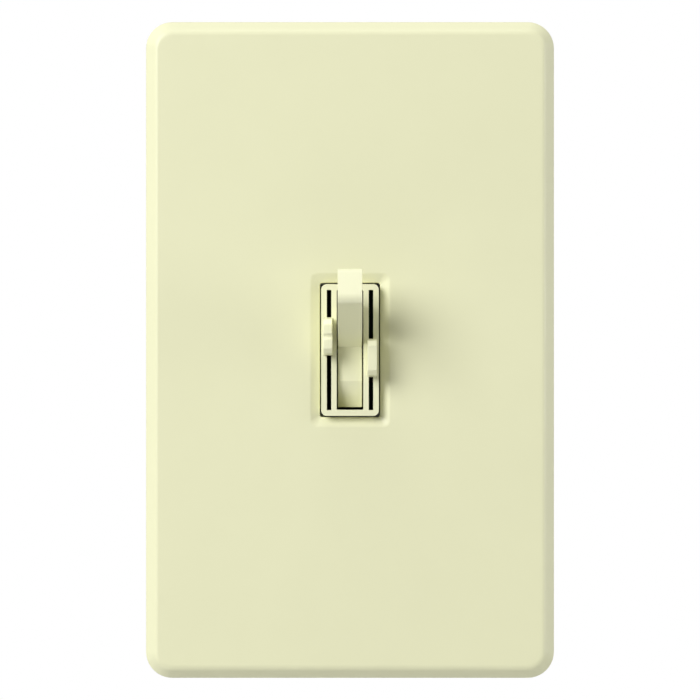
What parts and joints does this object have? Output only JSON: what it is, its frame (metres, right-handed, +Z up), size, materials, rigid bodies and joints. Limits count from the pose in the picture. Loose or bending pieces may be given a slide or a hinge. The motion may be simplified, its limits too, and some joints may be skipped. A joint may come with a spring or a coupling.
{
  "type": "toggle dimmer switch with two slides",
  "caption": "Wall switch with a toggle between a light dimmer slide and a fan speed slide, under a bevelled screwless plate, with yoke, switch works, electronics and back cover.",
  "frame": {"origin": "half way between the two wall-box screws, on the wall's surface, which is the back of the yoke's strap", "axes": "+Z up along the plate, +X to the right as seen from the front, +Y into the wall; the front faces -Y"},
  "size_m": [0.0746, 0.055, 0.12],
  "materials": {
    "ivory_plastic": "smooth, semi-gloss",
    "ivory_controls": "smooth, glossy",
    "adapter_plastic": "moulded, matt",
    "ivory_screw": "painted head",
    "yoke_metal": "brushed sheet",
    "zinc_steel": "zinc-plated",
    "spring_steel": "drawn wire and strip",
    "fibre": "vulcanised fibre",
    "insulator": "thin sheet",
    "nylon_black": "moulded nylon",
    "carriage_brown": "moulded phenolic",
    "copper_alloy": "stamped strip",
    "silver_contact": "silver alloy",
    "track_board_resin": "pressed resin board",
    "carbon_ink": "printed carbon",
    "rail_plastic": "acetal",
    "board_green": "glass-fibre board with solder mask",
    "semiconductor_black": "moulded epoxy with tinned leads",
    "thermal_pad": "filled silicone",
    "ferrite": "coated iron powder",
    "copper_winding": "enamelled wire",
    "film_yellow": "film capacitor case",
    "resistor_tan": "lacquered",
    "diac_blue": "painted glass",
    "film_red": "dipped film capacitor",
    "cover_plastic": "moulded thermoset",
    "brass_screw": "machined",
    "ground_green": "green finish"
  },
  "bodies": {
    "device": {"wall_plate": "ivory_plastic", "plate_adapter": "adapter_plastic", "adapter_screws": "ivory_screw", "yoke": "yoke_metal", "box_screws": "zinc_steel", "screw_retainers": "fibre", "insulator_sheet": "insulator", "bezel": "ivory_controls", "toggle_pin": "zinc_steel", "blade_post": "copper_alloy", "fixed_contact_bracket": "copper_alloy", "fixed_contact": "silver_contact", "blade_stop": "nylon_black", "light_track_board": "track_board_resin", "light_tracks": "carbon_ink", "light_guide": "zinc_steel", "fan_contact_board": "track_board_resin", "fan_pads": "copper_alloy", "fan_guide": "zinc_steel", "detent_rail": "rail_plastic", "circuit_board": "board_green", "triac": "semiconductor_black", "triac_pad": "thermal_pad", "triac_rivet": "zinc_steel", "choke_core": "ferrite", "choke_winding": "copper_winding", "filter_capacitor": "film_yellow", "fan_capacitor_large": "film_yellow", "fan_capacitor_small": "film_yellow", "resistors": "resistor_tan", "diac": "diac_blue", "timing_capacitor": "film_red", "back_cover": "cover_plastic", "housing_screws": "zinc_steel", "terminal_plates": "copper_alloy", "terminal_screws": "brass_screw", "ground_screw": "ground_green"},
    "toggle": {"toggle_lever": "ivory_controls", "toggle_spring": "spring_steel", "toggle_plunger": "nylon_black"},
    "contact_arm": {"contact_blade": "copper_alloy", "moving_contacts": "silver_contact"},
    "light_slide": {"light_knob": "ivory_controls", "light_carriage": "carriage_brown", "light_wiper": "copper_alloy"},
    "fan_slide": {"fan_knob": "ivory_controls", "fan_carriage": "carriage_brown", "fan_wiper": "copper_alloy", "detent_spring": "spring_steel"}
  },
  "joints": [
    {"name": "toggle_hinge", "type": "hinge", "parent": "device", "child": "toggle", "pos_m": [0, 0, 0], "axis": [1, 0, 0], "range_deg": [0, 60]},
    {"name": "contact_hinge", "type": "hinge", "parent": "device", "child": "contact_arm", "pos_m": [0, 0.0106, 0], "axis": [1, 0, 0], "range_deg": [-12, 0]},
    {"name": "light_travel", "type": "slide", "parent": "device", "child": "light_slide", "axis": [0, 0, 1], "range_m": [-0.00597, 0.00883]},
    {"name": "fan_travel", "type": "slide", "parent": "device", "child": "fan_slide", "axis": [0, 0, 1], "range_m": [-0.00986, 0.00493]}
  ],
  "couplings": [
    {"joint": "contact_hinge", "follows": "toggle_hinge", "ratio": -0.2}
  ]
}
